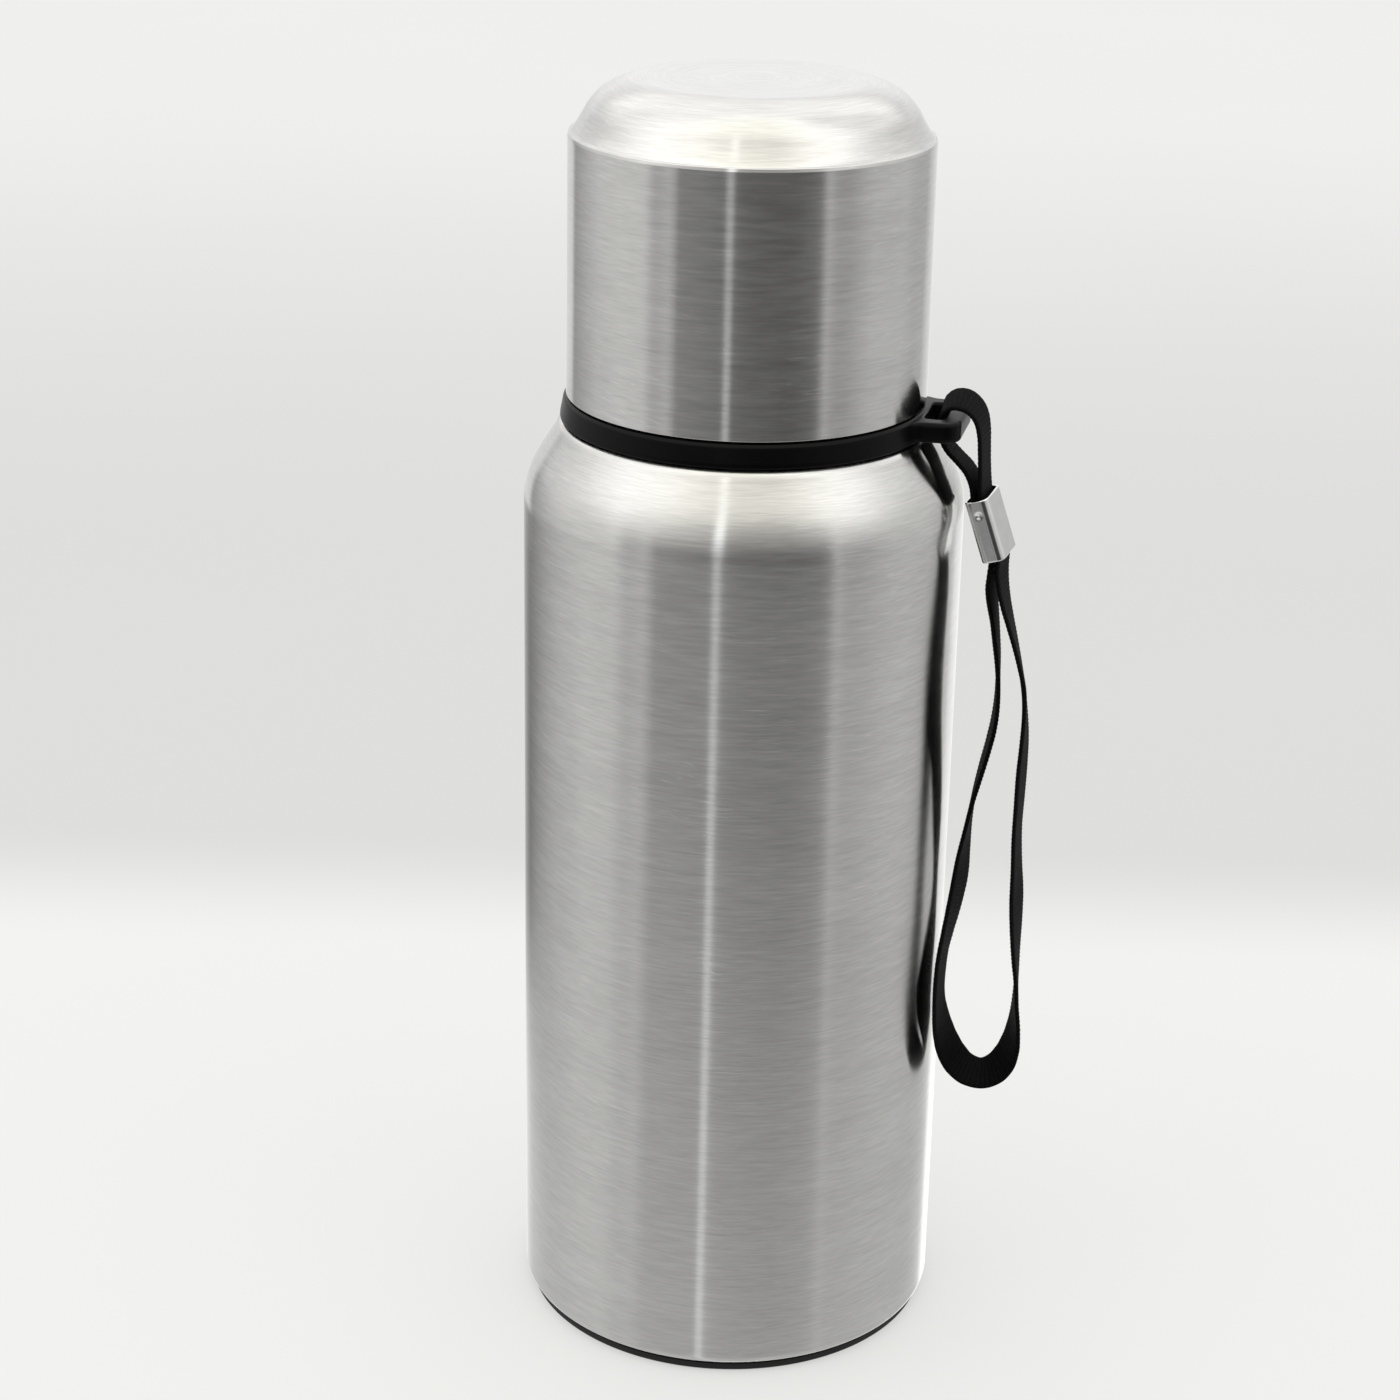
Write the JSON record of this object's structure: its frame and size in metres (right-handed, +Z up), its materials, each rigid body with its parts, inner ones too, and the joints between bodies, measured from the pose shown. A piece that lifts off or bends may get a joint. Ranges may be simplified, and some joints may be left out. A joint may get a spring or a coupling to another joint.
{
  "type": "vacuum flask",
  "caption": "Tall round stainless vacuum flask with a domed screw-on cup, push-button stopper, black neck collar and a hanging webbing wrist strap.",
  "frame": {"origin": "centre of the base, on the surface that the flask stands on", "axes": "+Z up along the flask axis; +X towards the side where the strap hangs, with the strap lug 12 degrees round from +X towards -Y; -Y towards the viewer"},
  "size_m": [0.1046, 0.088, 0.2604],
  "materials": {
    "steel_brushed": "circumferentially brushed stainless steel",
    "steel_bright": "pressed stainless steel",
    "steel_satin": "electropolished satin stainless steel",
    "black_rubber": "matt black rubber",
    "copper_foil": "bright metal foil",
    "getter_grey": "sintered grey pellet",
    "black_plastic": "satin black moulded plastic",
    "grey_plastic": "satin grey moulded plastic",
    "white_plastic": "off-white moulded plastic",
    "liner_plastic": "off-white moulded plastic",
    "white_silicone": "translucent grey-white silicone",
    "spring_steel": "drawn stainless spring wire",
    "black_webbing": "ribbed black woven webbing",
    "chrome_ferrule": "bright nickel plate"
  },
  "bodies": {
    "flask": {"outer_shell": "steel_brushed", "base_plate": "steel_bright", "foot_ring": "black_rubber", "vacuum_seal": "steel_bright", "inner_liner": "steel_satin", "mouth_ring": "steel_satin", "radiation_foil": "copper_foil", "getter": "getter_grey"},
    "collar": {"strap_collar": "black_plastic"},
    "strap": {"strap_lug_loop": "black_webbing", "strap_hand_loop": "black_webbing", "strap_ferrule": "chrome_ferrule"},
    "stopper_carrier": {"rim_gasket": "white_silicone"},
    "stopper": {"stopper_body": "black_plastic", "plug_gasket": "white_silicone", "valve_guide": "white_plastic", "stopper_cover": "black_plastic", "button_spring": "spring_steel"},
    "button": {"push_button": "grey_plastic", "valve_stem": "white_plastic", "valve_plate": "white_plastic", "valve_seal": "white_silicone"},
    "cup_carrier": {"cup_gasket": "white_silicone"},
    "cup": {"cup_shell": "steel_brushed", "cup_liner": "liner_plastic", "cup_thread_ring": "liner_plastic"}
  },
  "joints": [
    {"name": "collar_swivel", "type": "hinge", "parent": "flask", "child": "collar", "pos_m": [0, 0, 0.196], "axis": [0, 0, 1], "continuous": true},
    {"name": "strap_swing", "type": "hinge", "parent": "collar", "child": "strap", "pos_m": [0.04118, -0.00875, 0.196], "axis": [-0.2079, -0.9781, 0], "range_deg": [0, 115]},
    {"name": "stopper_lift", "type": "slide", "parent": "flask", "child": "stopper_carrier", "axis": [0, 0, 1], "range_m": [0, 0.045]},
    {"name": "stopper_turn", "type": "hinge", "parent": "stopper_carrier", "child": "stopper", "pos_m": [0, 0, 0.2], "axis": [0, 0, 1], "range_deg": [0, 450]},
    {"name": "button_press", "type": "slide", "parent": "stopper", "child": "button", "axis": [0, 0, -1], "range_m": [0, 0.003], "stiffness_N_per_m": 900, "springref_m": -0.003, "deforming": ["button_spring"]},
    {"name": "cup_lift", "type": "slide", "parent": "stopper_carrier", "child": "cup_carrier", "axis": [0, 0, 1], "range_m": [0, 0.075]},
    {"name": "cup_turn", "type": "hinge", "parent": "cup_carrier", "child": "cup", "pos_m": [0, 0, 0.22], "axis": [0, 0, 1], "range_deg": [0, 450]}
  ]
}
